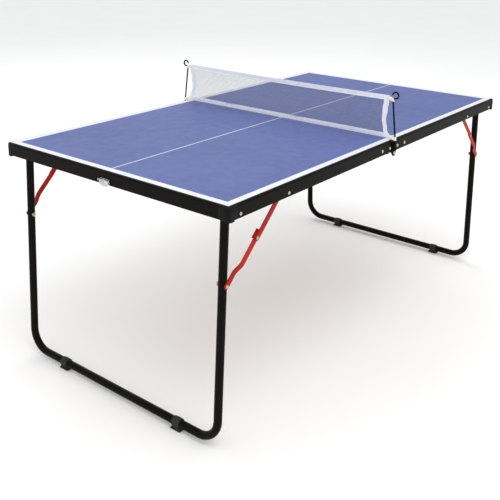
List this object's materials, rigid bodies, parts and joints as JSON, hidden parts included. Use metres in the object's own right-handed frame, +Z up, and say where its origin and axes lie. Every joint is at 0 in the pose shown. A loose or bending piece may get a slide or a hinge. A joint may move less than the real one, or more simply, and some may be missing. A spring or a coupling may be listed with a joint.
{
  "type": "ping pong table",
  "caption": "Folding table tennis table in two framed halves with U-shaped tube legs, jointed braces, a net on wire posts and a draw latch.",
  "frame": {"origin": "on the floor, under the middle of the table", "axes": "+X along the table's length to the right half, +Y across it to the back edge, +Z up"},
  "size_m": [1.5438, 0.861, 0.8112],
  "materials": {
    "blue_top": "satin blue painted board with white lines",
    "black_frame": "satin black powder-coated steel",
    "black_plastic": "moulded black plastic",
    "red_steel": "satin red powder-coated strip steel",
    "bright_steel": "zinc-plated rivets and bolts",
    "latch_chrome": "polished chrome",
    "foot_rubber": "matte black rubber",
    "net_fabric": "white knotted net with woven tape edges"
  },
  "bodies": {
    "left_half": {"left_board": "blue_top", "left_end_rail": "black_frame", "left_seam_rail": "black_frame", "left_front_rail": "black_frame", "left_front_corner_cap": "black_plastic", "left_front_hinge_leaf": "black_frame", "left_front_leg_pivot_bolt": "bright_steel", "left_front_brace_rail_rivet": "bright_steel", "left_back_rail": "black_frame", "left_back_corner_cap": "black_plastic", "left_back_hinge_leaf": "black_frame", "left_back_leg_pivot_bolt": "bright_steel", "left_back_brace_rail_rivet": "bright_steel", "left_latch_base": "latch_chrome", "left_latch_pin": "bright_steel", "front_net_bracket": "black_frame", "front_fold_hinge_bolt": "bright_steel", "back_net_bracket": "black_frame", "back_fold_hinge_bolt": "bright_steel"},
    "right_half": {"right_board": "blue_top", "right_end_rail": "black_frame", "right_seam_rail": "black_frame", "right_front_rail": "black_frame", "right_front_corner_cap": "black_plastic", "right_front_hinge_leaf": "black_frame", "right_front_leg_pivot_bolt": "bright_steel", "right_front_brace_rail_rivet": "bright_steel", "right_back_rail": "black_frame", "right_back_corner_cap": "black_plastic", "right_back_hinge_leaf": "black_frame", "right_back_leg_pivot_bolt": "bright_steel", "right_back_brace_rail_rivet": "bright_steel", "right_latch_keeper": "latch_chrome"},
    "left_leg_set": {"left_leg": "black_frame", "left_front_brace_leg_bolt": "bright_steel", "left_front_foot": "foot_rubber", "left_back_brace_leg_bolt": "bright_steel", "left_back_foot": "foot_rubber"},
    "right_leg_set": {"right_leg": "black_frame", "right_front_brace_leg_bolt": "bright_steel", "right_front_foot": "foot_rubber", "right_back_brace_leg_bolt": "bright_steel", "right_back_foot": "foot_rubber"},
    "left_upper_links": {"left_front_upper_brace_link": "red_steel", "left_front_brace_knee_rivet": "bright_steel", "left_back_upper_brace_link": "red_steel", "left_back_brace_knee_rivet": "bright_steel"},
    "left_lower_links": {"left_front_lower_brace_link": "red_steel", "left_back_lower_brace_link": "red_steel"},
    "right_upper_links": {"right_front_upper_brace_link": "red_steel", "right_front_brace_knee_rivet": "bright_steel", "right_back_upper_brace_link": "red_steel", "right_back_brace_knee_rivet": "bright_steel"},
    "right_lower_links": {"right_front_lower_brace_link": "red_steel", "right_back_lower_brace_link": "red_steel"},
    "net_set": {"net_panel": "net_fabric", "front_net_post": "black_frame", "back_net_post": "black_frame"},
    "latch_handle": {"left_latch_lever": "latch_chrome"}
  },
  "joints": [
    {"name": "table_fold", "type": "hinge", "parent": "left_half", "child": "right_half", "pos_m": [0, 0, 0.6255], "axis": [0, 1, 0], "range_deg": [0, 90]},
    {"name": "left_leg_fold", "type": "hinge", "parent": "left_half", "child": "left_leg_set", "pos_m": [-0.72, 0, 0.639], "axis": [0, -1, 0], "range_deg": [0, 92.77]},
    {"name": "right_leg_fold", "type": "hinge", "parent": "right_half", "child": "right_leg_set", "pos_m": [0.72, 0, 0.639], "axis": [0, 1, 0], "range_deg": [0, 92.77]},
    {"name": "left_upper_links_turn", "type": "hinge", "parent": "left_half", "child": "left_upper_links", "pos_m": [-0.532, 0, 0.639], "axis": [0, 1, 0], "range_deg": [0, 44.1]},
    {"name": "left_lower_links_turn", "type": "hinge", "parent": "left_leg_set", "child": "left_lower_links", "pos_m": [-0.72925, 0, 0.44822], "axis": [0, -1, 0], "range_deg": [0, 43.2]},
    {"name": "right_upper_links_turn", "type": "hinge", "parent": "right_half", "child": "right_upper_links", "pos_m": [0.532, 0, 0.639], "axis": [0, -1, 0], "range_deg": [0, 44.1]},
    {"name": "right_lower_links_turn", "type": "hinge", "parent": "right_leg_set", "child": "right_lower_links", "pos_m": [0.72925, 0, 0.44822], "axis": [0, 1, 0], "range_deg": [0, 43.2]},
    {"name": "net_lift", "type": "slide", "parent": "left_half", "child": "net_set", "axis": [0, 0, 1], "range_m": [0, 0.024]},
    {"name": "latch_turn", "type": "hinge", "parent": "left_half", "child": "latch_handle", "pos_m": [-0.7674, -0.003, 0.641], "axis": [0, 1, 0], "range_deg": [0, 110]}
  ],
  "couplings": [
    {"joint": "left_upper_links_turn", "follows": "left_leg_fold", "ratio": 0.47475},
    {"joint": "left_lower_links_turn", "follows": "left_leg_fold", "ratio": 0.46544},
    {"joint": "right_upper_links_turn", "follows": "right_leg_fold", "ratio": 0.47475},
    {"joint": "right_lower_links_turn", "follows": "right_leg_fold", "ratio": 0.46544}
  ]
}
